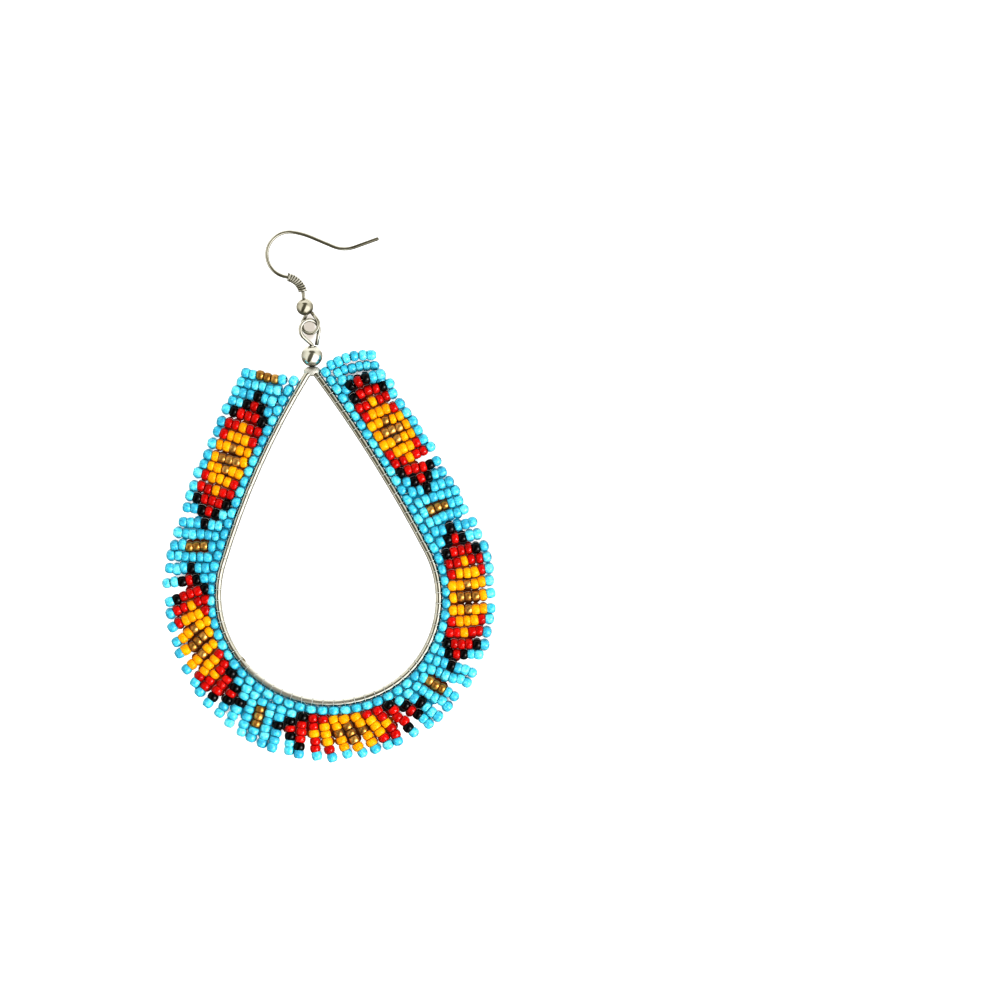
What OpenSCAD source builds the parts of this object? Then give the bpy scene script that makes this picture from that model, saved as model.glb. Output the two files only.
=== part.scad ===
// Beaded earring lying on its back: a teardrop wire hoop edged with a fringe of seed beads,
// hung by interlocking eyes from a fish-hook ear wire.
// X to the right, Y from the hoop to the hook, Z up; the surface that it lies on is Z = 0.

/* [Frame] */
// Diameter of the teardrop's wire
frame_wire_d = 1.25; // [1:0.05:1.5]
// Diameter of the pin that carries the ball and bends into the eye
pin_wire_d = 0.7; // [0.6:0.05:0.75]
// Centreline radius of the frame's eye
frame_eye_r = 1.85; // [1.8:0.05:1.9]
// Turn of the frame's eye about its pin
frame_eye_turn = 20; // [19:1:24]
// Diameter of the frame's ball
frame_ball_d = 4; // [3.8:0.1:4.2]
// Running clearance on the radius of a drilled ball
ball_clearance = 0.08; // [0.05:0.01:0.1]

/* [Ear wire] */
// Diameter of the ear wire
hook_wire_d = 0.65; // [0.6:0.05:0.7]
// Centreline radius of the hook's eye
hook_eye_r = 1.65; // [1.6:0.05:1.7]
// Turn of the hook's eye about the wire that it ends
hook_eye_turn = 18; // [17:1:21]
// Diameter of the hook's ball
hook_ball_d = 3.2; // [3:0.1:3.2]
// Diameter of the fine wire that is wound on the ear wire
coil_wire_d = 0.36; // [0.3:0.02:0.36]
// Number of turns in the winding
coil_turns = 9; // [7:1:9]

/* [Beadwork] */
// Diameter of a seed bead
bead_d = 2; // [1.8:0.05:2.1]
// Distance between the beads of one strand
bead_pitch = 1.41; // [1.35:0.01:1.5]
// Number of beads in the base row that is sewn to the wire
base_beads = 77; // [70:1:80]
// Number of beads in a fringe strand
strand_beads = 6; // [4:1:7]

/* [Hidden] */

frame_wire_r = frame_wire_d / 2;
pin_wire_r = pin_wire_d / 2;
frame_ball_r = frame_ball_d / 2;
hook_wire_r = hook_wire_d / 2;
hook_ball_r = hook_ball_d / 2;
coil_wire_r = coil_wire_d / 2;
bead_r = bead_d / 2;

// The teardrop's centreline, from its peak down the left side and back up the right one
peak = [-3.45, 23.2];
peak_heading = 182.5;
// columns: centreline radius, turn to the left in degrees
BEND_RADIUS = 0;
BEND_TURN = 1;
frame_bends = [
    [1.2, 56],
    [150, 15],
    [20, 68],
    [22, 62],
    [19.5, 94],
    [250, 9],
    [1.2, 56],
];

// The lump of solder at the butt joint, and the one under the ball
joint_at = 58.5;
joint_solder_r = 0.75;
joint_solder_in = 0.2;
peak_solder_r = 0.8;
peak_solder_up = 0.15;

// The ball lies on the surface and lifts the peak, while the round end lies on its beads
ball_at = [-3.4, 26.3];
round_end_y = -42.1;
frame_tilt = atan((frame_ball_r - bead_r) / (ball_at.y - round_end_y));

// The ear wire starts at its ball and is laid down on its bend and its tip
hook_at = [-4.75, 35.55];
hook_heading = 97;
hook_pitch = -5.15;
hook_roll = 0.4;
hook_stem = 2.5;
// columns: centreline radius, turn to the left in degrees, straight run after the bend
HOOK_RADIUS = 0;
HOOK_TURN = 1;
AFTER = 2;
hook_bends = [
    [3.75, 75, 0],
    [4.3, -180, 0],
    [14, -15, 4.5],
    [5.5, 43, 4.8],
];

// Each eye is drawn from its ball's centre up the Y axis and ends short of the ball.
// columns: straight run before the bend, centreline radius, turn to the left in degrees
EYE_RUN = 0;
EYE_RADIUS = 1;
EYE_TURN = 2;
frame_eye_bends = [
    [1.85, 0.6, 50],
    [1.85, frame_eye_r, -240],
];
frame_eye_end = 2.6;
hook_eye_bends = [
    [1.5, 0.5, -38],
    [0.85, hook_eye_r, 250],
];
hook_eye_end = 1.6;
// The hook's eye and its wire both go this far past the centre of the ball
eye_overlap = 0.3;

tip_cone = 0.15;
// The bent wire goes this share of its width into the tip
tip_root = 0.97;
// The winding starts and ends at these turns of the first bend
coil_from = 8;
coil_to = 70;
coil_gap = 0.03;
coil_sides = 6;
coil_rings_per_turn = 10;

// Sides of the wires' sections, and the turn from one section to the next
frame_sides = 12;
hook_sides = 10;
eye_sides = 8;
solder_sides = 12;
ball_sides = 64;
round_sides = 32;
turn_per_ring = 6;
turn_per_eye_ring = 20;

// The base row stands off the wire, and each strand starts one bead further out
base_first = 3.3;
base_last = 158.9;
base_offset = 1.55;
strand_offset = 2.9;
strand_sink = 0.5;
base_pitch = (base_last - base_first) / (base_beads - 1);
// The base row's backing is straight over this many beads
base_step = 2;
// Shares of a bead's width at its ends, and of its length at its full width
bead_end = 0.8;
bead_waist = 0.6;
bead_sides = 8;
// Where the strands stand along the wire and how far they lean on from square to it.
// Strands between two rows of the table are spread evenly.
// columns: strand, distance along the centreline, lean in degrees, lift onto a neighbour
STRAND = 0;
ROOT = 1;
LEAN = 2;
LIFT = 3;
strand_rows = [
    [1, 4.2, 21, 0],
    [4, 10.6, 11, 0],
    [10, 23.4, 5, 0],
    [16, 35.7, 10, 0],
    [18, 39.9, 16, 0],
    [20, 43.4, 13, 0],
    [21, 45.1, 21, 0],
    [24, 50.6, 21, 0],
    [28, 58.4, 12, 0],
    [32, 65.7, 12, 0],
    [33, 67.2, 16, 0],
    [35, 70.6, 8, 0],
    [38, 76.1, 9, 0],
    [41, 81.2, 23, 0],
    [43, 85.0, 22, 0],
    [45, 89.0, 13, 0],
    [46, 91.0, 20, 0],
    [49, 96.4, 9, 0],
    [50, 98.3, 10, 0],
    [52, 101.5, 22, 0],
    [53, 103.1, 22, 0],
    [56, 108.7, 13, 0],
    [57, 110.7, 3, 0],
    [59, 114.5, 0, 0],
    [61, 118.3, -12, 0],
    [63, 122.5, -14, 0],
    [64, 124.6, -8, 0],
    [68, 133.1, -14, 0],
    [70, 137.2, -9, 0],
    [78, 153.8, -11, 0.4],
    [79, 155.4, -13, 0],
    [80, 157.2, -15, 0.7],
    [81, 159.0, -26, 0],
];
strands = strand_rows[len(strand_rows) - 1][STRAND];

// A place is [x, y, heading]; a bend carries it round, a run carries it straight on
function bent(place, radius, turn) =
    let (side = sign(turn) * radius)
    [
        place.x + side * (sin(place.z + turn) - sin(place.z)),
        place.y - side * (cos(place.z + turn) - cos(place.z)),
        place.z + turn,
    ];
function run(place, length) =
    [place.x + length * cos(place.z), place.y + length * sin(place.z), place.z];
function beside(place, offset) =
    [place.x + offset * sin(place.z), place.y - offset * cos(place.z), place.z];
function bend_length(bend) = bend[BEND_RADIUS] * bend[BEND_TURN] * PI / 180;

// Where the frame's centreline starts its bend i, and where it is after a distance
function frame_place(i) =
    i == 0 ? [peak.x, peak.y, peak_heading]
    : bent(frame_place(i - 1), frame_bends[i - 1][BEND_RADIUS], frame_bends[i - 1][BEND_TURN]);
function frame_spot(distance, i = 0) =
    let (bend = frame_bends[i], rest = distance - bend_length(bend))
    rest > 0 && i < len(frame_bends) - 1 ? frame_spot(rest, i + 1)
    : bent(frame_place(i), bend[BEND_RADIUS], bend[BEND_TURN] * distance / bend_length(bend));

// Where the ear wire starts row i of its table
function hook_place(i) =
    i == 0 ? run([0, 0, hook_heading], hook_stem)
    : let (bend = hook_bends[i - 1])
    run(bent(hook_place(i - 1), bend[HOOK_RADIUS], bend[HOOK_TURN]), bend[AFTER]);

// Where an eye starts row i of its table
function eye_place(rows, i) =
    i == 0 ? [0, 0, 90]
    : let (bend = rows[i - 1])
    bent(run(eye_place(rows, i - 1), bend[EYE_RUN]), bend[EYE_RADIUS], bend[EYE_TURN]);

// Height of the frame's centreline over the surface
function frame_height(y) = frame_ball_r + (y - ball_at.y) * tan(frame_tilt);

// One value of the strands' table for any strand
function of_strand(number, column, i = 0) =
    let (a = strand_rows[i], b = strand_rows[i + 1])
    number > b[STRAND] ? of_strand(number, column, i + 1)
    : a[column] + (b[column] - a[column]) * (number - a[STRAND]) / (b[STRAND] - a[STRAND]);

// Places along a bend at equal turns, without its end
function bend_places(place, radius, turn, per_ring = turn_per_ring) =
    let (steps = max(4, ceil(abs(turn) / per_ring)))
    [for (k = [0 : steps - 1]) bent(place, radius, turn * k / steps)];

// Points of the wire's round section at a place
function section(place, wire_r, sides) =
    [
        for (k = [0 : sides - 1])
            let (side = beside(place, wire_r * cos(360 * k / sides)))
            [side.x, side.y, wire_r * sin(360 * k / sides)]
    ];

// Solid through a row of sections, capped at its ends or closed on itself
module skin(sections, closed) {
    sides = len(sections[0]);
    count = len(sections);
    walls = [
        for (row = [0 : count - (closed ? 1 : 2)])
            for (k = [0 : sides - 1])
                let (
                    here = row * sides,
                    next = (row + 1) % count * sides,
                    turn = (k + 1) % sides
                )
                each [[here + k, here + turn, next + turn], [here + k, next + turn, next + k]]
    ];
    caps = closed ? [] : [
        [for (k = [sides - 1 : -1 : 0]) k],
        [for (k = [0 : sides - 1]) (count - 1) * sides + k],
    ];
    polyhedron(points = [for (one = sections) each one], faces = concat(walls, caps), convexity = 10);
}

// Wire that comes up through a ball from a start below its centre and bends into an eye
module eye(rows, start, end, wire_r) {
    last = eye_place(rows, len(rows));
    places = [
        [0, start, 90],
        for (row = [0 : len(rows) - 1])
            let (bend = rows[row], at = run(eye_place(rows, row), bend[EYE_RUN]))
            each bend_places(at, bend[EYE_RADIUS], bend[EYE_TURN], turn_per_eye_ring),
        last,
        run(last, end),
    ];
    skin([for (place = places) section(place, wire_r, eye_sides)], false);
}

// Last run of the ear wire, with its end filed to a blunt cone
module wire_tip(place, length, wire_r) {
    translate([place.x, place.y, 0])
        rotate([0, 90, place.z])
            rotate_extrude($fn = round_sides)
                polygon([
                    [0, 0],
                    [wire_r, 0],
                    [wire_r, length - tip_cone],
                    [wire_r - tip_cone, length],
                    [0, length],
                ]);
}

// The flat earring parts are drawn at Z = 0 and laid down on the surface
module lay_frame() {
    translate([0, ball_at.y, frame_ball_r])
        rotate([frame_tilt, 0, 0])
            translate([0, -ball_at.y, 0])
                children();
}

module lay_hook() {
    translate([hook_at.x, hook_at.y, hook_ball_r])
        rotate([hook_pitch, hook_roll, 0])
            children();
}

// Ball drilled along Y, or along a heading
module drilled_ball(radius, bore_r, heading) {
    rotate([0, 0, heading - 90])
        difference() {
            sphere(r = radius, $fn = ball_sides);
            rotate([90, 0, 0])
                cylinder(r = bore_r, h = 3 * radius, center = true, $fn = round_sides);
        }
}

module frame() {
    loop = [
        for (row = [0 : len(frame_bends) - 1])
            let (bend = frame_bends[row])
            each bend_places(frame_place(row), bend[BEND_RADIUS], bend[BEND_TURN])
    ];
    joint = beside(frame_spot(joint_at), -joint_solder_in);
    color("silver")
        lay_frame() {
            skin([for (place = loop) section(place, frame_wire_r, frame_sides)], true);
            translate([joint.x, joint.y, 0])
                sphere(r = joint_solder_r, $fn = solder_sides);
            translate([peak.x, peak.y + peak_solder_up, 0])
                sphere(r = peak_solder_r, $fn = solder_sides);
            translate(ball_at)
                rotate([0, frame_eye_turn, 0])
                    eye(frame_eye_bends, peak.y - ball_at.y, frame_eye_end, pin_wire_r);
        }
}

module frame_ball() {
    color("gainsboro")
        lay_frame()
            translate(ball_at)
                drilled_ball(frame_ball_r, pin_wire_r + ball_clearance, 90);
}

module ear_hook() {
    tip_length = hook_bends[len(hook_bends) - 1][AFTER];
    tip = run(hook_place(len(hook_bends)), -tip_length);
    bends = [
        run([0, 0, hook_heading], -eye_overlap),
        for (row = [0 : len(hook_bends) - 1])
            let (bend = hook_bends[row])
            each bend_places(hook_place(row), bend[HOOK_RADIUS], bend[HOOK_TURN]),
    ];
    color("silver")
        lay_hook() {
            skin(
                [
                    for (place = bends) section(place, hook_wire_r, hook_sides),
                    section(tip, hook_wire_r * tip_root, hook_sides),
                    section(run(tip, hook_wire_r), hook_wire_r * tip_root, hook_sides),
                ],
                false
            );
            wire_tip(tip, tip_length, hook_wire_r);
            rotate([0, 0, hook_heading + 90])
                rotate([0, hook_eye_turn, 0])
                    eye(hook_eye_bends, -eye_overlap, hook_eye_end, hook_wire_r);
        }
}

module hook_ball() {
    color("gainsboro")
        lay_hook()
            drilled_ball(hook_ball_r, hook_wire_r + ball_clearance, hook_heading);
}

// Fine wire wound round the ear wire's first bend
module hook_coil() {
    bend = hook_bends[0];
    winding_r = hook_wire_r + coil_wire_r + coil_gap;
    rings = coil_turns * coil_rings_per_turn;
    // Point of the winding at a share of its length
    function wound(share) =
        let (
            on = bent(hook_place(0), bend[HOOK_RADIUS], coil_from + (coil_to - coil_from) * share),
            out = beside(on, winding_r * cos(360 * coil_turns * share))
        )
        [out.x, out.y, winding_r * sin(360 * coil_turns * share)];
    function unit(v) = v / norm(v);
    sections = [
        for (ring = [0 : rings])
            let (
                here = wound(ring / rings),
                along = unit(wound((ring + 1) / rings) - wound((ring - 1) / rings)),
                across = unit(cross(along, [0, 0, 1])),
                up = cross(across, along)
            )
            [
                for (k = [0 : coil_sides - 1])
                    here + coil_wire_r * (across * cos(360 * k / coil_sides) + up * sin(360 * k / coil_sides))
            ]
    ];
    color("lightgray")
        lay_hook()
            skin(sections, false);
}

// Waist of a seed bead along Y, and its outer form with narrower ends
module waist() {
    rotate([90, 0, 0])
        cylinder(r = bead_r, h = bead_pitch * bead_waist, center = true, $fn = bead_sides);
}

module barrel() {
    waist();
    rotate([90, 0, 0])
        cylinder(r = bead_r * bead_end, h = bead_pitch, center = true, $fn = bead_sides);
}

// Puts a bead at a place on the surface, with its hole turned a lean away from square to the wire
module lay_bead(place, height, lean) {
    translate([place.x, place.y, height])
        rotate([0, 0, place.z + lean])
            children();
}

// Base row along the wire, backed by the strands that hang from it and droop to the surface
module beadwork() {
    color("deepskyblue") {
        for (i = [0 : base_step : base_beads - 2])
            hull()
                for (k = [i, min(i + base_step, base_beads - 1)]) {
                    place = beside(frame_spot(base_first + k * base_pitch), base_offset);
                    lay_bead(place, frame_height(place.y), 0)
                        barrel();
                }
        for (k = [1 : strands]) {
            root = beside(frame_spot(of_strand(k, ROOT)), strand_offset);
            lean = of_strand(k, LEAN);
            lift = of_strand(k, LIFT);
            end = beside([root.x, root.y, root.z + lean], (strand_beads - 1) * bead_pitch);
            hull() {
                lay_bead(beside(root, -strand_sink), frame_height(root.y) + lift, lean)
                    waist();
                lay_bead(end, bead_r + lift, 0)
                    barrel();
            }
        }
    }
}

ear_hook();
hook_coil();
hook_ball();
frame();
frame_ball();
beadwork();
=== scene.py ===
import math
import random

import bmesh
import bpy
from mathutils import Matrix, Vector


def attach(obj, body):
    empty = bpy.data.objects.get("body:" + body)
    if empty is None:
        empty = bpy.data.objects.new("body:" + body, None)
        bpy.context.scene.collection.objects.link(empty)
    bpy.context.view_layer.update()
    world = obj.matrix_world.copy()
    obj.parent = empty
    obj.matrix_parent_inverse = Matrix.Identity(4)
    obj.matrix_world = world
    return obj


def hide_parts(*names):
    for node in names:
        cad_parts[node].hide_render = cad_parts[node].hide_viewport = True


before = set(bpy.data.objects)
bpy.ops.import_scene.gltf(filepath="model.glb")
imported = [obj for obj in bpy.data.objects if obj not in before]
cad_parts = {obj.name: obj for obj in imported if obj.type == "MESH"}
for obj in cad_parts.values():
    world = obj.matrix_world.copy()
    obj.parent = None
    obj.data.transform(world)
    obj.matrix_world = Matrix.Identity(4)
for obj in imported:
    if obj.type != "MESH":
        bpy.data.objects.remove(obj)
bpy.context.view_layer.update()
scene = bpy.context.scene
mm = 0.001
toMetres = Matrix.Scale(mm, 4)


# Shader maths: a wrapped socket, and a tree that makes the nodes

class Signal:
    def __init__(self, tree, socket):
        self.tree = tree
        self.socket = socket

    def maths(self, operation, *values):
        return self.tree.node("ShaderNodeMath", {"operation": operation}, dict(enumerate(values)))

    def __add__(self, other):
        return self.maths("ADD", self, other)

    def __sub__(self, other):
        return self.maths("SUBTRACT", self, other)

    def __rsub__(self, other):
        return self.maths("SUBTRACT", other, self)

    def __mul__(self, other):
        return self.maths("MULTIPLY", self, other)

    def __truediv__(self, other):
        return self.maths("DIVIDE", self, other)

    __radd__ = __add__
    __rmul__ = __mul__

    def root(self):
        return self.maths("SQRT", self)

    def largest(self, other):
        return self.maths("MAXIMUM", self, other)

    def fade(self, low, high):  # 0 below low, 1 above high; the other way round if low is the larger
        settings = {"interpolation_type": "SMOOTHSTEP"}
        inputs = {"Value": self, "From Min": min(low, high), "From Max": max(low, high)}
        rise = self.tree.node("ShaderNodeMapRange", settings, inputs)
        return rise if low < high else 1 - rise


class NodeTree:
    def __init__(self, owner):
        owner.use_nodes = True
        self.tree = owner.node_tree
        self.tree.nodes.clear()

    def node(self, kind, settings=None, inputs=None, output=0):
        made = self.tree.nodes.new(kind)
        for name, value in (settings or {}).items():
            if name == "stops":
                self.fillRamp(made.color_ramp, value)
            else:
                setattr(made, name, value)
        for name, value in (inputs or {}).items():
            if isinstance(value, Signal):
                self.tree.links.new(value.socket, made.inputs[name])
            else:
                made.inputs[name].default_value = value
        return Signal(self, made.outputs[output]) if made.outputs else made

    def fillRamp(self, ramp, stops):
        while len(ramp.elements) > 1:
            ramp.elements.remove(ramp.elements[-1])
        for i, (position, colour) in enumerate(stops):
            stop = ramp.elements[0] if i == 0 else ramp.elements.new(position)
            stop.position = position
            stop.color = (*colour, 1)

    def ramp(self, factor, stops):
        return self.node("ShaderNodeValToRGB", {"stops": stops}, {"Fac": factor})

    def mottled(self, cloud, first, second):  # two colours, spread over the middle of a noise
        return self.ramp(cloud, [(0.3, first), (0.7, second)])

    def mix(self, factor, first, second):
        first, second = [(*c, 1) if isinstance(c, tuple) else c for c in (first, second)]
        return self.node("ShaderNodeMix", {"data_type": "RGBA"}, {0: factor, 6: first, 7: second}, output=2)

    def attribute(self, name):
        return self.node("ShaderNodeAttribute", {"attribute_name": name}, output=2)

    def noise(self, scale, detail):
        where = self.node("ShaderNodeTexCoord", output=3)  # Object
        return self.node("ShaderNodeTexNoise", inputs={"Vector": where, "Scale": scale, "Detail": detail})

    def flat(self):  # an object's own x and y
        where = self.node("ShaderNodeTexCoord", output=3)
        return [self.node("ShaderNodeSeparateXYZ", inputs={0: where}, output=i) for i in (0, 1)]

    def patch(self, across, upward, oval, soft=0.3):  # 1 inside an oval, 0 outside it
        x, y, width, height, turn = oval
        c, s = math.cos(math.radians(turn)), math.sin(math.radians(turn))
        u = ((across - x) * c + (upward - y) * s) / width
        v = ((upward - y) * c - (across - x) * s) / height
        return (u * u + v * v).root().fade(1 + soft, 1 - soft)

    def openness(self, reach, samples=4):  # 1 in the open, near 0 deep in a gap
        return self.node("ShaderNodeAmbientOcclusion", {"samples": samples}, {"Distance": reach}, output=1)

    def bump(self, height, distance, strength):
        inputs = {"Height": height, "Distance": distance, "Strength": strength}
        return self.node("ShaderNodeBump", inputs=inputs)

    def surface(self, inputs):
        shader = self.node("ShaderNodeBsdfPrincipled", inputs=inputs)
        self.node("ShaderNodeOutputMaterial", inputs={"Surface": shader})


def newMaterial(name):
    material = bpy.data.materials.new(name)
    return material, NodeTree(material)


# Paths: a place is x, y and heading in millimetres and degrees, drawn flat and laid down afterwards

def bent(place, radius, turn):
    x, y, heading = place
    side = math.copysign(radius, turn)
    start, end = math.radians(heading), math.radians(heading + turn)
    x += side * (math.sin(end) - math.sin(start))
    y -= side * (math.cos(end) - math.cos(start))
    return (x, y, heading + turn)


def run(place, length):
    x, y, heading = place
    angle = math.radians(heading)
    return (x + length * math.cos(angle), y + length * math.sin(angle), heading)


def beside(place, offset):  # to the right, as seen along the heading
    x, y, heading = place
    angle = math.radians(heading)
    return (x + offset * math.sin(angle), y - offset * math.cos(angle), heading)


def outward(heading):
    return Vector((*beside((0, 0, heading), 1)[:2], 0))


# Meshes and pieces

def meshOf(bm, name):
    mesh = bpy.data.meshes.new(name)
    bm.to_mesh(mesh)
    bm.free()
    return mesh


def addObject(name, data):
    made = bpy.data.objects.new(name, data)
    scene.collection.objects.link(made)
    return made


def keep(mesh, name, material, replaced=()):
    mesh.materials.clear()
    mesh.materials.append(material)
    mesh.polygons.foreach_set("use_smooth", [True] * len(mesh.polygons))
    piece = addObject(name, mesh)
    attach(piece, "root")
    if replaced:
        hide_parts(*replaced)
    print(f"{name}: {len(mesh.polygons)} faces")
    return piece


def finish(bm, name, material, replaced=()):
    bmesh.ops.remove_doubles(bm, verts=bm.verts, dist=1e-6)
    bmesh.ops.recalc_face_normals(bm, faces=bm.faces)
    return keep(meshOf(bm, name), name, material, replaced)


def sweepWire(bm, start, steps, wire, seam=0):  # a step is a run's length, or a bend's radius, turn and count
    x, y, heading = start
    upright = (
        Matrix.Translation((x, y, 0)) @ Matrix.Rotation(math.radians(heading), 4, "Z")
        @ Matrix.Rotation(math.pi / 2, 4, "Y"))
    ring = bmesh.ops.create_circle(
        bm, segments=wire["sides"], radius=wire["wireRadius"], matrix=upright)["verts"]
    first = list(ring)
    edges = list(dict.fromkeys(e for v in ring for e in v.link_edges))
    place = start
    for kind, *sizes in steps:
        if kind == "run":
            made = bmesh.ops.extrude_edge_only(bm, edges=edges)["geom"]
            ring = [g for g in made if isinstance(g, bmesh.types.BMVert)]
            edges = [g for g in made if isinstance(g, bmesh.types.BMEdge) and all(v in ring for v in g.verts)]
            moved = run(place, sizes[0])
            bmesh.ops.translate(bm, verts=ring, vec=(moved[0] - place[0], moved[1] - place[1], 0))
            place = moved
        else:
            radius, turn, count = sizes
            middleX, middleY, _ = beside(place, -math.copysign(radius, turn))
            made = bmesh.ops.spin(
                bm, geom=edges, cent=(middleX, middleY, 0), axis=(0, 0, 1), angle=math.radians(turn),
                steps=count)
            edges = [g for g in made["geom_last"] if isinstance(g, bmesh.types.BMEdge)]
            ring = list(dict.fromkeys(v for e in edges for v in e.verts))
            place = bent(place, radius, turn)
    if seam:
        bmesh.ops.remove_doubles(bm, verts=ring + first, dist=seam)
    else:
        bmesh.ops.holes_fill(bm, edges=[e for e in bm.edges if e.is_boundary], sides=wire["sides"])
    return place


def revolve(bm, sides):  # a profile's full turn round the y axis
    bmesh.ops.spin(
        bm, geom=bm.verts[:] + bm.edges[:], cent=(0, 0, 0), axis=(0, 1, 0), angle=math.tau,
        steps=sides, use_merge=True)


# Silver

metal = {  # what all the silver shares
    "paintedShadeReach": 2 * mm, "paintedShadeFade": (0.5, 0.95), "cloudRoughness": 0.06, "scratchRoughness": 0.05,
    "bumpStrength": 0.3,
}


def silver(name, settings):
    material, tree = newMaterial(name)
    cloud = tree.noise(settings["cloudScale"], 3)
    scratch = tree.noise(settings["scratchScale"], 2)
    # an oval where the colour and roughness change; on some finishes this is painted light and shade, noted
    # where each finish is set
    toneOval = tree.patch(*tree.flat(), settings["toneOval"])
    # painted shade: where little is open around it, at its edges near the paper, at crossings and in gaps,
    # the colour darkens to shade times dark
    paintedEdgeShade = tuple(settings["shade"] * c for c in settings["dark"])
    colour = tree.mottled(cloud, settings["dark"], settings["light"])
    colour = tree.mix(toneOval, colour, settings["toneColour"])
    colour = tree.mix(tree.openness(metal["paintedShadeReach"]).fade(*metal["paintedShadeFade"]), paintedEdgeShade, colour)
    rough = settings["roughness"] + cloud * metal["cloudRoughness"] + scratch * metal["scratchRoughness"]
    tree.surface({
        "Base Color": colour, "Metallic": 1.0, "Roughness": rough + toneOval * settings["toneRoughness"],
        "Normal": tree.bump(scratch, settings["bump"] * mm, metal["bumpStrength"]),
    })
    return material


# this oval gives x, y, width and height in metres, and its turn in degrees; inside it the colour and
# roughness change, painted light and shade on some finishes as noted at each
# painted highlight: the oval below lightens the hoop's bottom arc, brightening its reflection there
wireSilver = silver("polishedSilver", {
    "dark": (0.62, 0.6, 0.53), "light": (0.84, 0.82, 0.76), "roughness": 0.05,
    "cloudScale": 700, "scratchScale": 5000, "shade": 0.4, "bump": 0.01,
    "toneOval": (-0.009, -0.042, 0.016, 0.012, 0), "toneColour": (0.88, 0.87, 0.82), "toneRoughness": 0.22,
})
# painted reflection: the oval below darkens part of the ear wire's top arc, as a dark reflection
hookSilver = silver("earWireSilver", {
    "dark": (0.54, 0.52, 0.45), "light": (0.74, 0.72, 0.64), "roughness": 0.08,
    "cloudScale": 900, "scratchScale": 6000, "shade": 0.5, "bump": 0.01,
    "toneOval": (0.008, 0.0478, 0.005, 0.004, 0), "toneColour": (0.2, 0.19, 0.15), "toneRoughness": 0.1,
})
# painted shade: the oval below darkens the ball's lower edge, where it meets the peak
ballSilver = silver("mirrorSilver", {
    "dark": (0.72, 0.71, 0.64), "light": (0.86, 0.85, 0.79), "roughness": 0.07,
    "cloudScale": 500, "scratchScale": 4000, "shade": 0.7, "bump": 0.004,
    "toneOval": (-0.0034, 0.0245, 0.0008, 0.0006, 0), "toneColour": (0.5, 0.49, 0.43), "toneRoughness": 0.1,
})
windingSilver = silver("windingSilver", {
    "dark": (0.62, 0.6, 0.53), "light": (0.84, 0.82, 0.75), "roughness": 0.25,
    "cloudScale": 900, "scratchScale": 6000, "shade": 0.35, "bump": 0.01,
    "toneOval": (-0.0055, 0.0393, 0.0008, 0.0008, 0), "toneColour": (0.45, 0.43, 0.36), "toneRoughness": 0.05,
})
hookBallSilver = silver("earBallSilver", {
    "dark": (0.54, 0.51, 0.43), "light": (0.7, 0.67, 0.58), "roughness": 0.09,
    "cloudScale": 500, "scratchScale": 4000, "shade": 0.7, "bump": 0.006,
    "toneOval": (-0.0052, 0.0343, 0.0006, 0.0005, 0), "toneColour": (0.4, 0.38, 0.3), "toneRoughness": 0.1,
})
# painted shadow: the oval below darkens the top of the peak, under the ball
solderSilver = silver("solderedPeak", {
    "dark": (0.86, 0.85, 0.8), "light": (0.95, 0.94, 0.9), "roughness": 0.5,
    "cloudScale": 700, "scratchScale": 3000, "shade": 0.5, "bump": 0.01,
    "toneOval": (-0.0034, 0.0242, 0.0006, 0.0005, 0), "toneColour": (0.6, 0.59, 0.54), "toneRoughness": 0.05,
})
solderGrey = silver("solderedJoint", {
    "dark": (0.2, 0.17, 0.11), "light": (0.5, 0.45, 0.33), "roughness": 0.25,
    "cloudScale": 2500, "scratchScale": 5000, "shade": 0.6, "bump": 0.03,
    "toneOval": (-0.0175, -0.0295, 0.0008, 0.0004, -60), "toneColour": (0.1, 0.09, 0.06), "toneRoughness": 0.1,
})


# Glass and thread

glass = {  # what all the beads share
    "shades": (0.15, 0.5, 0.85), "swirlFade": (0.3, 0.7), "endFade": (0.3, 1.0), "endShade": 0.7,
    "paintedShadeReach": 1.2 * mm, "paintedShadeFade": (0.15, 0.7), "swirlRoughness": 0.08, "bumpStrength": 0.4,
    "milkRadius": (0.6, 0.6, 0.6), "milkScale": 1.0 * mm,
}


def beadGlass(name, settings):
    material, tree = newMaterial(name)
    swirl = tree.noise(settings["swirlScale"], 3)
    grain = tree.noise(settings["grainScale"], 2)
    blotch = tree.attribute("tone") * 0.5 + swirl.fade(*glass["swirlFade"]) * 0.5
    colours = (settings["dark"], settings["usual"], settings["light"])
    colour = tree.ramp(blotch, list(zip(glass["shades"], colours)))
    # painted shade: the glass darkens round the hole, where a bead meets its neighbours
    atEnd = tree.attribute("end").fade(*glass["endFade"]) * glass["endShade"]
    colour = tree.mix(atEnd, colour, settings["deep"])
    # painted shade: the glass darkens to its deep colour in the creases between beads
    colour = tree.mix(tree.openness(glass["paintedShadeReach"]).fade(*glass["paintedShadeFade"]), settings["deep"], colour)
    tree.surface({
        "Base Color": colour, "Metallic": settings["metallic"],
        "Roughness": settings["roughness"] + swirl * glass["swirlRoughness"],
        "Specular IOR Level": settings["gloss"], "Subsurface Weight": settings["milky"],
        "Subsurface Radius": glass["milkRadius"], "Subsurface Scale": glass["milkScale"],
        "Normal": tree.bump(grain, settings["grainDepth"] * mm, glass["bumpStrength"]),
    })
    return material


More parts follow.
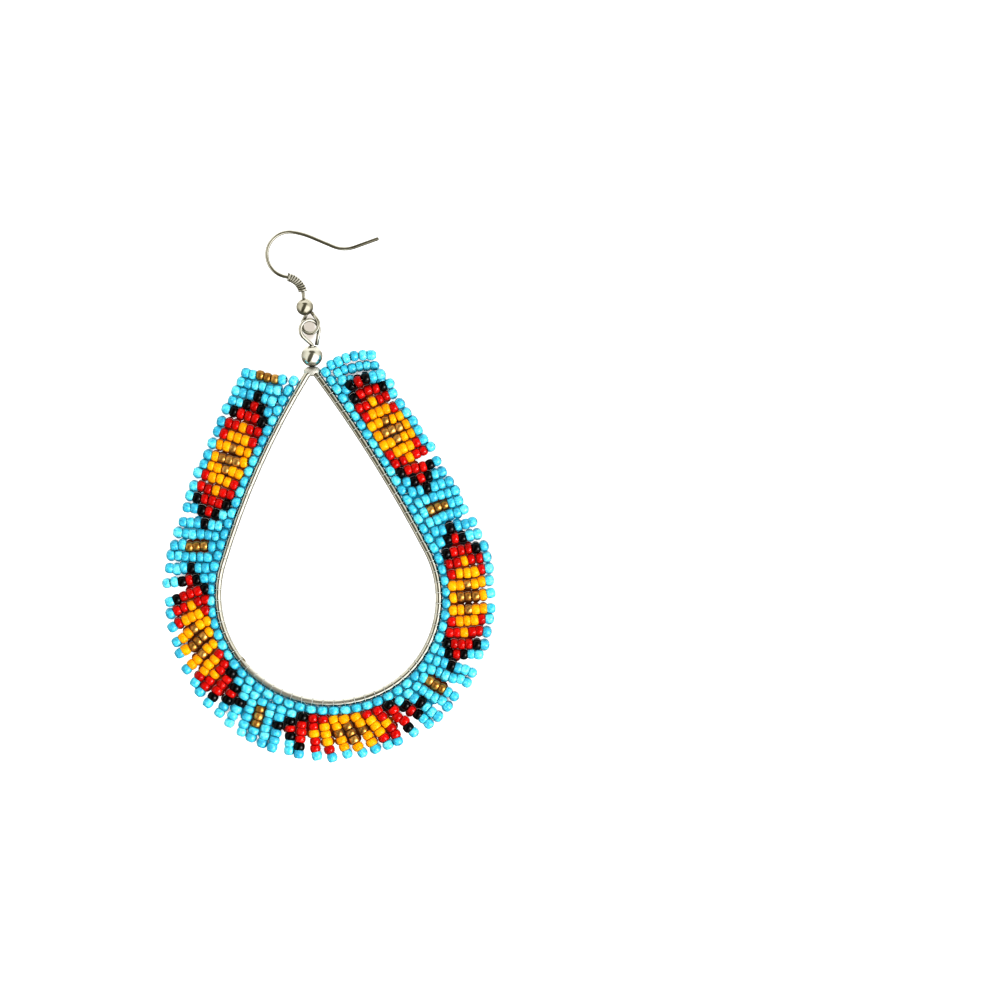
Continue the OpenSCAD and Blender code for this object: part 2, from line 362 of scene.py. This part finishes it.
usualBead = {
    "metallic": 0.0, "milky": 0.5, "swirlScale": 1600, "grainScale": 4000, "grainDepth": 0.01,
    "shoulder": 0.66, "width": 1.01,
}
beadFinishes = {  # cast is the colour of the painted shadow under a bead on the paper
    "B": {
        **usualBead, "name": "turquoise", "deep": (0.004, 0.13, 0.2), "dark": (0.04, 0.33, 0.48),
        "usual": (0.06, 0.47, 0.62), "light": (0.17, 0.64, 0.74), "cast": (0.008, 0.17, 0.26),
        "roughness": 0.28, "gloss": 0.6, "shoulder": 0.64, "width": 1.0,
    },
    "R": {
        **usualBead, "name": "red", "deep": (0.1, 0.002, 0.001), "dark": (0.32, 0.003, 0.001),
        "usual": (0.43, 0.004, 0.002), "light": (0.54, 0.008, 0.004), "cast": (0.12, 0.003, 0.002),
        "roughness": 0.08, "gloss": 0.3, "milky": 0.3, "shoulder": 0.64, "width": 0.98,
    },
    "Y": {
        **usualBead, "name": "yellow", "deep": (0.38, 0.11, 0.001), "dark": (0.7, 0.28, 0.002),
        "usual": (0.77, 0.335, 0.003), "light": (0.82, 0.39, 0.006), "cast": (0.16, 0.035, 0.003),
        "roughness": 0.25, "gloss": 0.15,
    },
    "K": {
        **usualBead, "name": "black", "deep": (0.0005, 0.0005, 0.0005), "dark": (0.001, 0.001, 0.001),
        "usual": (0.002, 0.0015, 0.002), "light": (0.004, 0.003, 0.004), "cast": (0.012, 0.012, 0.014),
        "roughness": 0.04, "gloss": 0.25, "milky": 0.0, "grainDepth": 0.003,
    },
    "G": {
        **usualBead, "name": "bronze", "deep": (0.08, 0.032, 0.006), "dark": (0.3, 0.15, 0.035),
        "usual": (0.44, 0.24, 0.065), "light": (0.6, 0.36, 0.12), "cast": (0.06, 0.016, 0.004),
        "roughness": 0.3, "gloss": 0.5, "milky": 0.0, "metallic": 0.8, "width": 0.93,
        "swirlScale": 2400, "grainScale": 4500, "grainDepth": 0.04,
    },
}

threadWhite, tree = newMaterial("sewingThread")
twist = tree.noise(6000, 1)
tree.surface({
    "Base Color": tree.mottled(twist, (0.36, 0.37, 0.36), (0.66, 0.67, 0.65)),
    "Roughness": 0.3 + twist * 0.1, "Specular IOR Level": 0.6,
    "Normal": tree.bump(twist, 0.02 * mm, 0.4),
})
print("materials made")


# The hoop: bends of its centreline from the peak down the left side and back up the right one

hoop = {
    "peak": (-3.45, 23.2, 182.5),
    "bends": [  # radius, turn, count
        (1.2, 56, 8), (150, 15, 8), (20, 68, 24), (22, 62, 22), (19.5, 94, 32), (250, 9, 8), (1.2, 56, 8),
    ],
    "wireRadius": 0.625,
    "sides": 20,
    "seam": 0.05,  # reach of the merge where the sweep comes back to the peak
    "ballCentre": (-3.4, 26.3, 2.0),
    "roundEnd": -42.1,
    "restHeight": 1.0,  # of the round end, which lies on its beads
    "solderSeed": 4,
}
peakSolder = {"off": (0.1, 0.22), "sizes": (1.6, 0.95, 0.76), "rough": 0.0}
jointSolder = {"at": 59.7, "off": -0.36, "sizes": (0.85, 0.4, 0.5), "rough": 0.04}
ballX, ballY, ballZ = hoop["ballCentre"]
hoopTilt = math.atan((ballZ - hoop["restHeight"]) / (ballY - hoop["roundEnd"]))
layHoop = (
    toMetres @ Matrix.Translation((0, ballY, ballZ)) @ Matrix.Rotation(hoopTilt, 4, "X")
    @ Matrix.Translation((0, -ballY, 0)))


def hoopHeight(y):
    return ballZ + (y - ballY) * math.tan(hoopTilt)


def hoopSpot(distance):
    place = hoop["peak"]
    for radius, turn, _ in hoop["bends"]:
        length = radius * math.radians(turn)
        if distance <= length:
            return bent(place, radius, turn * distance / length)
        distance -= length
        place = bent(place, radius, turn)
    return place


def solder(name, place, settings, material):  # a blob of it on the hoop's wire
    x, y, heading = place
    centre = Vector((x, y, 0))
    turned = Matrix.Translation(centre) @ Matrix.Rotation(math.radians(heading), 4, "Z")
    size = Matrix.Diagonal((*settings["sizes"], 1))
    bm = bmesh.new()
    blob = bmesh.ops.create_icosphere(bm, subdivisions=3, radius=1.0, matrix=turned @ size)["verts"]
    wobble = random.Random(hoop["solderSeed"])
    for v in blob:
        v.co += (v.co - centre) * wobble.uniform(-settings["rough"], settings["rough"])
    bmesh.ops.transform(bm, matrix=layHoop, verts=bm.verts)
    finish(bm, name, material)


bm = bmesh.new()
sweepWire(bm, hoop["peak"], [("bend", *bend) for bend in hoop["bends"]], hoop, hoop["seam"])
bmesh.ops.transform(bm, matrix=layHoop, verts=bm.verts)
finish(bm, "hoopWire", wireSilver, ("frame",))

offX, offY = peakSolder["off"]
solder("hoopPeak", (hoop["peak"][0] + offX, hoop["peak"][1] + offY, 0), peakSolder, solderSilver)
solder("hoopJoint", beside(hoopSpot(jointSolder["at"]), jointSolder["off"]), jointSolder, solderGrey)


# Eyes: each comes up out of its ball and bends round, ending short of the ball

def eyeWire(eye, lay):
    steps = []
    for before, radius, turn, count in eye["bends"]:
        steps += [("run", before), ("bend", radius, turn, count)]
    steps[0] = ("run", eye["bends"][0][0] - eye["start"])  # it counts from the ball's centre
    bm = bmesh.new()
    sweepWire(bm, (0, eye["start"], 90), steps + [("run", eye["end"])], eye)
    turned = lay @ Matrix.Rotation(math.radians(eye["turn"]), 4, "Y")
    bmesh.ops.transform(bm, matrix=turned, verts=bm.verts)
    return bm


hoopEye = {
    "bends": [(1.85, 0.6, 50, 6), (1.85, 1.85, -240, 30)],  # straight run before, radius, turn, count
    "start": -3.1, "end": 2.6, "turn": 20, "wireRadius": 0.35, "sides": 16,
}
hoopBall = {"radius": 2.0, "bore": 0.43, "rings": 26, "sides": 48}
layPin = layHoop @ Matrix.Translation((ballX, ballY, 0))
finish(eyeWire(hoopEye, layPin), "hoopEye", wireSilver)


def drilledBall(name, ball, material, lay, replaced):
    bm = bmesh.new()
    edge = math.asin(ball["bore"] / ball["radius"])
    start = bmesh.ops.create_vert(bm, co=(ball["bore"], ball["radius"] * math.cos(edge), 0))["vert"]
    arc = bmesh.ops.spin(
        bm, geom=start, cent=(0, 0, 0), axis=(0, 0, 1), angle=2 * edge - math.pi, steps=ball["rings"])
    last = [g for g in arc["geom_last"] if isinstance(g, bmesh.types.BMVert)]
    bmesh.ops.contextual_create(bm, geom=start + last)
    revolve(bm, ball["sides"])
    bmesh.ops.transform(bm, matrix=lay, verts=bm.verts)
    finish(bm, name, material, replaced)


drilledBall("hoopBall", hoopBall, ballSilver, layPin, ("frame_ball",))
print("hoop and its ball made")


# The ear wire, drawn from its ball

earWire = {
    "ballCentre": (-4.75, 35.55, 1.6),
    "heading": 97,
    "pitch": -5.15,
    "roll": 0.4,
    "wireRadius": 0.325,
    "sides": 14,
    "inBall": 0.3,  # how far before the ball's centre it starts
    "stem": 2.5,
    "bends": [  # radius, turn, count, straight run after
        (3.75, 75, 14, 0), (4.3, -180, 36, 0), (14, -15, 5, 4.5), (5.5, 43, 10, 4.65),
    ],
    "tipInset": 0.12,
    "tipCone": 0.15,
}
earEye = {
    "bends": [(1.5, 0.5, -38, 5), (0.85, 1.65, 250, 30)],
    "start": -0.3, "end": 1.6, "turn": 18, "wireRadius": 0.325, "sides": 14,
}
earBall = {"radius": 1.6, "bore": 0.405, "rings": 22, "sides": 40}
layEar = (
    toMetres @ Matrix.Translation(earWire["ballCentre"])
    @ Matrix.Rotation(math.radians(earWire["roll"]), 4, "Y")
    @ Matrix.Rotation(math.radians(earWire["pitch"]), 4, "X"))

ballPlace = (0, 0, earWire["heading"])
steps = [("run", earWire["stem"] + earWire["inBall"])]
for radius, turn, count, after in earWire["bends"]:
    steps.append(("bend", radius, turn, count))
    if after:
        steps.append(("run", after))
bm = bmesh.new()
tip = sweepWire(bm, run(ballPlace, -earWire["inBall"]), steps, earWire)
endCap = max(bm.faces, key=lambda f: f.calc_center_median().x)
bmesh.ops.inset_region(bm, faces=[endCap], thickness=earWire["tipInset"], depth=0)
coneX, coneY, _ = run((0, 0, tip[2]), earWire["tipCone"])
bmesh.ops.translate(bm, verts=endCap.verts, vec=(coneX, coneY, 0))
bmesh.ops.transform(bm, matrix=layEar, verts=bm.verts)
finish(bm, "earWire", hookSilver, ("ear_hook",))

layEarBall = layEar @ Matrix.Rotation(math.radians(earWire["heading"] - 90), 4, "Z")
layEarEye = layEar @ Matrix.Rotation(math.radians(earWire["heading"] + 90), 4, "Z")
finish(eyeWire(earEye, layEarEye), "earEye", hookSilver)
drilledBall("earBall", earBall, hookBallSilver, layEarBall, ("hook_ball",))


# Fine wire wound on the ear wire's first bend

coil = {"turns": 9, "from": 8, "to": 70, "wireRadius": 0.21, "gap": 0.08, "pointsPerTurn": 16, "bevel": 2}


def tubes(name, lines, radius, bevel, closed, material, replaced=()):
    curve = bpy.data.curves.new(name, "CURVE")
    curve.dimensions = "3D"
    curve.bevel_depth = radius * mm
    curve.bevel_resolution = bevel
    curve.use_fill_caps = True
    for line in lines:
        spline = curve.splines.new("POLY")
        spline.points.add(len(line) - 1)
        for point, where in zip(spline.points, line):
            point.co = (*where, 1)
        spline.use_cyclic_u = closed
    drawn = bpy.data.objects.new(name, curve)
    mesh = bpy.data.meshes.new_from_object(drawn)
    bpy.data.objects.remove(drawn)
    bpy.data.curves.remove(curve)
    mesh.name = name
    return keep(mesh, name, material, replaced)


windingRadius = earWire["wireRadius"] + coil["wireRadius"] + coil["gap"]
windingStart = run(ballPlace, earWire["stem"])
windingSteps = coil["turns"] * coil["pointsPerTurn"]
points = []
for i in range(windingSteps + 1):
    share = i / windingSteps
    angle = math.tau * coil["turns"] * share
    on = bent(windingStart, earWire["bends"][0][0], coil["from"] + (coil["to"] - coil["from"]) * share)
    x, y, _ = beside(on, windingRadius * math.cos(angle))
    points.append(layEar @ Vector((x, y, windingRadius * math.sin(angle))))
tubes(
    "earWinding", [points], coil["wireRadius"], coil["bevel"], False, windingSilver,
    ("hook_coil",))
print("ear wire made")


# Beads: where each one lies, then the glass itself

beadwork = {
    "baseBeads": 77,
    "strandBeads": 6,
    "pitch": 1.41,
    "lastPitch": 1.6,  # in the last strand, which is strung more loosely
    "radius": 1.07,
    "length": 1.53,
    "hole": 0.4,
    "dish": 0.84,  # the hole's rim, as a share of half the length
    "cheek": (0.6, 0.76),  # where the profile turns between shoulder and middle
    "holeShade": 1.2,  # painted shade darkens the glass this far out round the hole, in hole radii
    "sides": 12,
    "usualWidth": 0.98,
    "mostWidth": 1.01,
    "endBead": (14 / 15, 1.1),  # width and length of a strand's last bead, beside the others'
    "droop": 1.5,  # a larger power brings a strand down to the surface sooner
    "liftFrom": 2,  # steps from a strand's first bead to the first with its full lift
    "oddLift": 0.15,  # every other strand lies a little higher
    "lowest": 1.02,  # a bead centre's least height, in radii
    "crowdReach": 2.7,  # a bead nearer than this to both neighbouring strands is in a crowd
    "looseStrands": 3,  # the last ones, which never count as crowded
    "seed": 7,
}
scatter = {  # spread of the random draws, in millimetres, degrees or shares
    "offset": 0.06, "lean": 0.8, "curl": 4, "stray": 0.1, "lift": 0.06, "pitch": 0.04,
    "tilt": 3, "width": 0.025, "length": 0.06, "stitch": 7,
}
# how beads of neighbouring strands push each other apart; the last strands are left alone
settling = {"rounds": 12, "neighbours": 3, "gap": 1.95, "share": 0.3, "upward": 0.3, "leftAlone": 4}
# strand, distance along the hoop, lean in degrees, first bead's offset, lift onto a neighbour, curl
strandRows = [
    (1, 4.2, 21, 3.5, 0, 0), (4, 10.6, 11, 2.95, 0, 0), (10, 23.4, 5, 2.8, 0, 0),
    (16, 35.7, 10, 2.85, 0, 0), (18, 39.9, 16, 3.0, 0, 0), (20, 43.4, 13, 2.75, 0, 0),
    (21, 45.1, 21, 2.5, 0, 0), (24, 50.6, 21, 2.6, 0, 0), (28, 58.4, 12, 2.75, 0, 0),
    (32, 65.7, 12, 3.0, 0, 0), (33, 67.2, 16, 3.3, 0, 0), (35, 70.6, 8, 3.1, 0, 0),
    (38, 76.1, 9, 3.15, 0, 0), (41, 81.2, 23, 3.05, 0, 0), (43, 85.0, 22, 3.15, 0, 0),
    (45, 89.0, 13, 2.9, 0, 0), (46, 91.0, 20, 3.2, 0, 0), (49, 96.4, 9, 2.9, 0, 0),
    (50, 98.3, 10, 2.95, 0, 0), (52, 101.5, 22, 2.8, 0, 0), (53, 103.1, 22, 3.1, 0, 0),
    (56, 108.7, 13, 2.7, 0, 0), (57, 110.7, 3, 2.7, 0, 0), (59, 114.5, 0, 2.85, 0, 0),
    (61, 118.3, -12, 3.05, 0, 0), (63, 122.5, -14, 3.0, 0, 0), (64, 124.6, -8, 2.95, 0, 0),
    (68, 133.1, -14, 2.75, 0, 0), (70, 137.2, -9, 2.95, 0, 0), (76, 149.6, -10, 2.85, 0.1, 0),
    (77, 151.7, -12, 3.2, 0.3, -20), (78, 153.9, -9, 2.9, 1.8, -32), (79, 155.6, -31, 3.3, 0, -5),
    (80, 157.3, -22, 3.35, 0.1, -24), (81, 159.2, -16, 3.2, 0.5, -28),
]
# base bead, distance along the hoop, how far its centre stands off the wire's
baseRows = [
    (1, 3.3, 1.6), (9, 20.1, 1.38), (19, 41.1, 1.4), (25, 53.4, 1.38), (33, 69.4, 1.5), (39, 81.6, 1.5),
    (49, 101.6, 1.42), (59, 122.0, 1.38), (67, 138.6, 1.38), (75, 154.9, 1.42), (77, 158.7, 1.6),
]
strandTotal = strandRows[-1][0]
# colours of a strand from the base out: B turquoise, K black, R red, Y yellow, G bronze
diamond = ["BGGGBB", "BBBBBB", "BBKBBB", "BKRKBB", "KRRRKB", "RRYRRB", "RYYYRB", "YYGYYB", "YGGGYB"]


def between(rows, number):
    for low, high in zip(rows, rows[1:]):
        if number <= high[0]:
            share = (number - low[0]) / (high[0] - low[0])
            return [a + (b - a) * share for a, b in zip(low[1:], high[1:])]


def strandColours(number):  # there and back through the half diamond; the last two strands are plain
    if number >= strandTotal - 1:
        return "B" * beadwork["strandBeads"]
    repeat = 2 * (len(diamond) - 1)
    row = (number - 1) % repeat
    return diamond[min(row, repeat - row)]


def strandLine(number, chance):
    distance, lean, offset, lift, curl = between(strandRows, number)
    x, y, heading = beside(hoopSpot(distance), offset + chance.gauss(0, scatter["offset"]))
    place = (x, y, heading + lean - curl / 2 + chance.gauss(0, scatter["lean"]))
    curl += chance.gauss(0, scatter["curl"])
    pitch = beadwork["lastPitch"] if number == strandTotal else beadwork["pitch"]
    drop = hoopHeight(y) - beadwork["radius"]
    last = beadwork["strandBeads"] - 1
    line = []
    for i in range(beadwork["strandBeads"]):
        strayX, strayY, _ = run(place, chance.gauss(0, scatter["stray"]))
        height = beadwork["radius"] + drop * (1 - i / last) ** beadwork["droop"]
        height += number % 2 * beadwork["oddLift"]
        height += lift * min(1, i / beadwork["liftFrom"])
        height += abs(chance.gauss(0, scatter["lift"]))
        line.append(Vector((strayX, strayY, height)))
        x, y, heading = place
        place = beside((x, y, heading + curl / last), pitch * chance.gauss(1, scatter["pitch"]))
    return line


def pushApart(lines):  # neighbouring strands lean on each other
    gap = settling["gap"]
    for _ in range(settling["rounds"]):
        for i, line in enumerate(lines):
            for other in lines[i + 1:i + 1 + settling["neighbours"]]:
                for a in line:
                    for b in other:
                        apart = a - b
                        if abs(apart.x) < gap and abs(apart.y) < gap and 0 < apart.length < gap:
                            push = apart.normalized() * (gap - apart.length) * settling["share"]
                            push.z *= settling["upward"]
                            a += push
                            b -= push


chance = random.Random(beadwork["seed"])
strandLines = [strandLine(number, chance) for number in range(1, strandTotal + 1)]
pushApart(strandLines[:-settling["leftAlone"]])
for line in strandLines:
    for centre in line:
        centre.z = max(centre.z, beadwork["radius"] * beadwork["lowest"])
baseSpots = []
for number in range(1, beadwork["baseBeads"] + 1):
    distance, offset = between(baseRows, number)
    baseSpots.append((hoopSpot(distance), offset))


def oneBead(shoulder, width):  # its profile goes from the hole over the shoulder to the widest place
    half, radius, hole = beadwork["length"] / 2, beadwork["radius"] * width, beadwork["hole"]
    cheekOut, cheekUp = beadwork["cheek"]
    cheek = ((cheekOut + shoulder / 2) * radius, -(0.5 + shoulder / 2) * cheekUp * half)
    profile = [(hole, -beadwork["dish"] * half), (shoulder * radius, -half), cheek]
    profile += [(radius, 0)] + [(r, -y) for r, y in reversed(profile)]
    bm = bmesh.new()
    verts = [bm.verts.new((r, y, 0)) for r, y in profile]
    for a, b in zip(verts, verts[1:] + verts[:1]):
        bm.edges.new((a, b))
    revolve(bm, beadwork["sides"])
    bmesh.ops.recalc_face_normals(bm, faces=bm.faces)
    return meshOf(bm, "beadShape")


def beadMatrix(centre, along, chance, atEnd):
    side = along.cross(Vector((0, 0, 1))).normalized()
    up = side.cross(along)
    turned = Matrix((side, along, up)).transposed().to_4x4()
    spin = Matrix.Rotation(chance.uniform(0, math.tau), 4, "Y")
    tilt = Matrix.Rotation(math.radians(chance.gauss(0, scatter["tilt"])), 4, "X")
    endWidth, endLength = beadwork["endBead"] if atEnd else (1, 1)
    width = min(chance.gauss(beadwork["usualWidth"], scatter["width"]), beadwork["mostWidth"]) * endWidth
    length = chance.gauss(1, scatter["length"]) * endLength
    return Matrix.Translation(centre) @ turned @ tilt @ spin @ Matrix.Diagonal((width, length, width, 1))


def crowded(centre, number):  # whether beads of both neighbouring strands come close
    if number == 1 or number > strandTotal - beadwork["looseStrands"]:
        return False
    sides = (strandLines[number - 2], strandLines[number])
    return all(min((centre - other).length for other in line) < beadwork["crowdReach"] for line in sides)


placed = {colour: [] for colour in beadFinishes}  # centre, direction, place in the strand, crowded or not
for number, (spot, offset) in enumerate(baseSpots, 1):
    x, y, heading = beside(spot, offset)
    inCrowd = number not in (1, beadwork["baseBeads"])
    placed["B"].append((Vector((x, y, hoopHeight(y))), outward(heading), 0, inCrowd))
for number, line in enumerate(strandLines, 1):
    colours = strandColours(number)
    for i, centre in enumerate(line):
        along = (line[min(i + 1, len(line) - 1)] - line[max(i - 1, 0)]).normalized()
        placed[colours[i]].append((centre, along, i + 1, crowded(centre, number)))

litByBox = bpy.data.collections.new("litByBox")
for colour, settings in beadFinishes.items():
    name = settings["name"]
    shape = oneBead(settings["shoulder"], settings["width"])
    bm = bmesh.new()
    for centre, along, i, _ in placed[colour]:
        matrix = beadMatrix(centre, along, chance, i == beadwork["strandBeads"])
        before = len(bm.verts)
        bm.from_mesh(shape)
        bm.verts.ensure_lookup_table()
        bmesh.ops.transform(bm, matrix=toMetres @ matrix, verts=bm.verts[before:])
    mesh = meshOf(bm, name + "Beads")
    count = len(shape.vertices)
    tones = [chance.uniform(0, 1) for _ in placed[colour]]
    tone = mesh.attributes.new("tone", "FLOAT", "POINT")
    tone.data.foreach_set("value", [t for t in tones for _ in range(count)])
    holeShadeReach = beadwork["hole"] * beadwork["holeShade"]
    ends = [1.0 if math.hypot(v.co.x, v.co.z) < holeShadeReach else 0.0 for v in shape.vertices]
    end = mesh.attributes.new("end", "FLOAT", "POINT")
    end.data.foreach_set("value", ends * len(placed[colour]))
    piece = keep(mesh, name + "Beads", beadGlass(name + "Glass", settings), ("beadwork",))
    litByBox.objects.link(piece)
    bpy.data.meshes.remove(shape)
    print(f"{name}: {len(placed[colour])} beads")


# Painted shadow: glowing discs on the paper under the beads, coloured like the light the glass lets through,
# wider under the crowded inner beads

cast = {
    "reach": [1.35, 1.6, 1.6, 1.5, 1.4, 1.25, 1.2],  # under a base bead, then along a strand
    "openReach": 1.0,
    "sides": 14,
    "softGrowth": 1.12,
    "softRim": 0.25,
    "layer": 0.01,  # height from one colour's discs to the next
    "step": 0.001,  # height between soft discs that may overlap, with this many heights
    "steps": 7,
    "shades": (0.7, 1.3),
    "cloudScale": 900,
}


def paintedShadowPool(name, shadowColour, beads, height, soft):  # a glowing disc of painted shadow on the paper under each bead
    bm = bmesh.new()
    heart = bm.verts.layers.float.new("heart")
    growth = cast["softGrowth"] if soft else 1
    for count, (centre, along, i, inCrowd) in enumerate(beads):
        reach = cast["reach"][i] if inCrowd else cast["openReach"]
        lift = (count % cast["steps"] + 1) * cast["step"] if soft else 0
        spot = Matrix.Translation((centre.x, centre.y, height + lift))
        turned = Matrix.Rotation(math.atan2(along.y, along.x) - math.pi / 2, 4, "Z")
        size = Matrix.Diagonal((reach * growth, growth, 1, 1))
        made = bmesh.ops.create_circle(
            bm, cap_ends=True, cap_tris=soft, segments=cast["sides"], radius=1,
            matrix=toMetres @ spot @ turned @ size)["verts"]
        for v in made:
            v[heart] = 1.0 if len(v.link_edges) == cast["sides"] else 0.0
    shadowPaint, tree = newMaterial(name + "Tint")
    dim, full = [tuple(shade * c for c in shadowColour) for shade in cast["shades"]]
    tree.surface({
        "Base Color": (0, 0, 0, 1), "Specular IOR Level": 0.0, "Roughness": 0.9, "Emission Strength": 1.0,
        "Emission Color": tree.mottled(tree.noise(cast["cloudScale"], 2), dim, full),
        "Alpha": tree.attribute("heart").fade(0.0, cast["softRim"]) if soft else 1.0,
    })
    pool = addObject(name, meshOf(bm, name))
    pool.data.materials.append(shadowPaint)
    pool.visible_diffuse = False
    pool.visible_glossy = False
    pool.visible_shadow = False


for layer, (colour, settings) in enumerate(beadFinishes.items(), 1):
    atEdge = [not inCrowd or i == beadwork["strandBeads"] for _, _, i, inCrowd in placed[colour]]
    for soft, ending in ((False, "Cast"), (True, "CastEdge")):
        beads = [bead for bead, edge in zip(placed[colour], atEdge) if edge == soft]
        paintedShadowPool(settings["name"] + ending, settings["cast"], beads, layer * cast["layer"], soft)


# Sewing thread: a loop round the wire at each base bead, and a line through each strand

thread = {
    "radius": 0.052,
    "bevel": 1,
    "loopRadius": 0.7,
    "loopReach": 1.05,
    "loopAngles": range(40, 330, 20),
    "innerTail": 0.9,  # past a strand's first and last bead, in steps between beads
    "outerTail": 0.5,
}
loops = []
for (x, y, heading), offset in baseSpots:
    out = outward(heading + chance.gauss(0, scatter["stitch"]))
    centre = Vector((x, y, hoopHeight(y)))
    ring = [centre + out * thread["loopReach"]]
    for angle in thread["loopAngles"]:
        turn = math.radians(angle)
        around = out * math.cos(turn) + Vector((0, 0, 1)) * math.sin(turn)
        ring.append(centre + around * thread["loopRadius"])
    loops.append([p * mm for p in ring])
lines = []
for line in strandLines:
    inner = line[0] - (line[1] - line[0]) * thread["innerTail"]
    outer = line[-1] + (line[-1] - line[-2]) * thread["outerTail"]
    lines.append([p * mm for p in [inner] + line + [outer]])
for name, paths, closed in (("wrappingThread", loops, True), ("strandThread", lines, False)):
    piece = tubes(name, paths, thread["radius"], thread["bevel"], closed, threadWhite)
    litByBox.objects.link(piece)
print("beadwork made")


# Studio: glowing pale floor, soft sky, one broad softbox at the lower right, camera straight above

studio = {
    "middle": (0.0321, -0.0009),
    "width": 0.18914,
    "cameraHeight": 0.9,
    "boxPower": 4.3,
    "boxSize": 0.46,
    "boxDirection": (0.715, -0.358, 0.6),
    "boxDistance": 0.7,
    "fillPower": 1.3,
    "fillSpread": 50,
    "fillDirection": (-0.35, 0.45, 0.8),
}
paper = {
    "glow": (0.95, 0.95, 0.945),
    "eyeShade": (-0.00395, 0.0317, 0.0013, 0.0026, 0.0),  # painted shadow: the oval of shade on the paper that shows through the two eyes
    "eyeSoft": 0.45,
    "eyeShadowGlow": (0.53, 0.485, 0.43),
    "paintedShadeReach": 4 * mm,
    "paintedShadeFade": (0.13, 0.22),
    "paintedGapShade": (0.003, 0.05, 0.075),  # painted shade in narrow gaps between the beads, dark teal since most of the beads are turquoise
}
bm = bmesh.new()
bmesh.ops.create_grid(bm, x_segments=1, y_segments=1, size=3)
floor = addObject("floor", meshOf(bm, "floor"))
floorPaper, tree = newMaterial("whitePaper")
# painted shadow of the two eyes on the paper
eyeShade = tree.patch(*tree.flat(), paper["eyeShade"], soft=paper["eyeSoft"])
glow = tree.mix(eyeShade, paper["glow"], paper["eyeShadowGlow"])
# painted shade: the paper's glow darkens where the beads hem it in
glow = tree.mix(tree.openness(paper["paintedShadeReach"], samples=8).fade(*paper["paintedShadeFade"]), paper["paintedGapShade"], glow)
tree.surface({
    "Base Color": tree.mottled(tree.noise(40, 3), (0.03, 0.03, 0.03), (0.035, 0.035, 0.035)),
    "Roughness": 0.9, "Specular IOR Level": 0.0, "Emission Color": glow, "Emission Strength": 1.0,
})
floor.data.materials.append(floorPaper)
floor.visible_diffuse = False  # the sky's lower half stands for its bounce
floor.visible_glossy = False

# The sky is drawn as a mirror ball shows it: by the half way vector between a direction and straight up
skyLook = {
    "fromMiddle": [
        (0.0, (0.76, 0.75, 0.69)), (0.5, (0.78, 0.77, 0.7)), (0.72, (0.66, 0.65, 0.59)),
        (0.85, (0.48, 0.47, 0.42)), (1.0, (0.3, 0.29, 0.25)),
    ],
    "top": (0.98, 0.97, 0.92), "topFade": (0.35, 0.6), "topShare": 0.8,
    "bright": (1.25, 1.24, 1.2), "brightOval": (0.3, -0.25, 0.36, 0.36, 0),
    "low": (0.1, 0.1, 0.09), "lowRim": (0.6, 0.8), "lowFade": (0.0, -0.4), "lowShare": 0.7,
    "stand": ((-0.12, -0.12, 0.2, 0.62, -25), (0.03, 0.36, 0.3, 0.12, -6)),
    "standTop": (0.15, 0.145, 0.115), "standFoot": (0.07, 0.065, 0.045), "standFade": (-0.1, -0.5),
}
world = bpy.data.worlds.new("studio")
scene.world = world
tree = NodeTree(world)
direction = tree.node("ShaderNodeTexCoord", output=0)
half = tree.node("ShaderNodeVectorMath", {"operation": "ADD"}, {0: direction, 1: (0, 0, 1)})
half = tree.node("ShaderNodeVectorMath", {"operation": "NORMALIZE"}, {0: half})
across = tree.node("ShaderNodeSeparateXYZ", inputs={0: half}, output=0)
upward = tree.node("ShaderNodeSeparateXYZ", inputs={0: half}, output=1)
rim = (across * across + upward * upward).root()
column, head = [tree.patch(across, upward, oval) for oval in skyLook["stand"]]
cameraStand = column.largest(head)

sky = tree.ramp(rim, skyLook["fromMiddle"])
sky = tree.mix(upward.fade(*skyLook["topFade"]) * skyLook["topShare"], sky, skyLook["top"])
sky = tree.mix(tree.patch(across, upward, skyLook["brightOval"]), sky, skyLook["bright"])
lowSide = rim.fade(*skyLook["lowRim"]) * upward.fade(*skyLook["lowFade"])
sky = tree.mix(lowSide * skyLook["lowShare"], sky, skyLook["low"])
stand = tree.mix(upward.fade(*skyLook["standFade"]), skyLook["standTop"], skyLook["standFoot"])
sky = tree.mix(cameraStand, sky, stand)
background = tree.node("ShaderNodeBackground", inputs={"Color": sky})
tree.node("ShaderNodeOutputWorld", inputs={"Surface": background})

box = bpy.data.lights.new("softbox", "AREA")
box.shape = "DISK"
box.size = studio["boxSize"]
box.energy = studio["boxPower"]
toBox = Vector(studio["boxDirection"]).normalized()
softbox = addObject("softbox", box)
softbox.location = toBox * studio["boxDistance"]
softbox.rotation_euler = toBox.to_track_quat("Z", "Y").to_euler()
softbox.light_linking.receiver_collection = litByBox  # the silver shows the sky's own bright patch instead

fillLight = bpy.data.lights.new("fill", "SUN")
fillLight.energy = studio["fillPower"]
fillLight.angle = math.radians(studio["fillSpread"])
fill = addObject("fill", fillLight)
fill.rotation_euler = Vector(studio["fillDirection"]).to_track_quat("Z", "Y").to_euler()
fill.visible_glossy = False  # it lights the glass and leaves the silver's reflections alone

lens = bpy.data.cameras.new("camera")
lens.sensor_width = 36
lens.lens = lens.sensor_width * studio["cameraHeight"] / studio["width"]
lens.clip_start = 0.01
camera = addObject("camera", lens)
camera.location = (*studio["middle"], studio["cameraHeight"])
scene.camera = camera
scene.view_settings.view_transform = "Standard"
scene.view_settings.look = "High Contrast"
print("studio made")
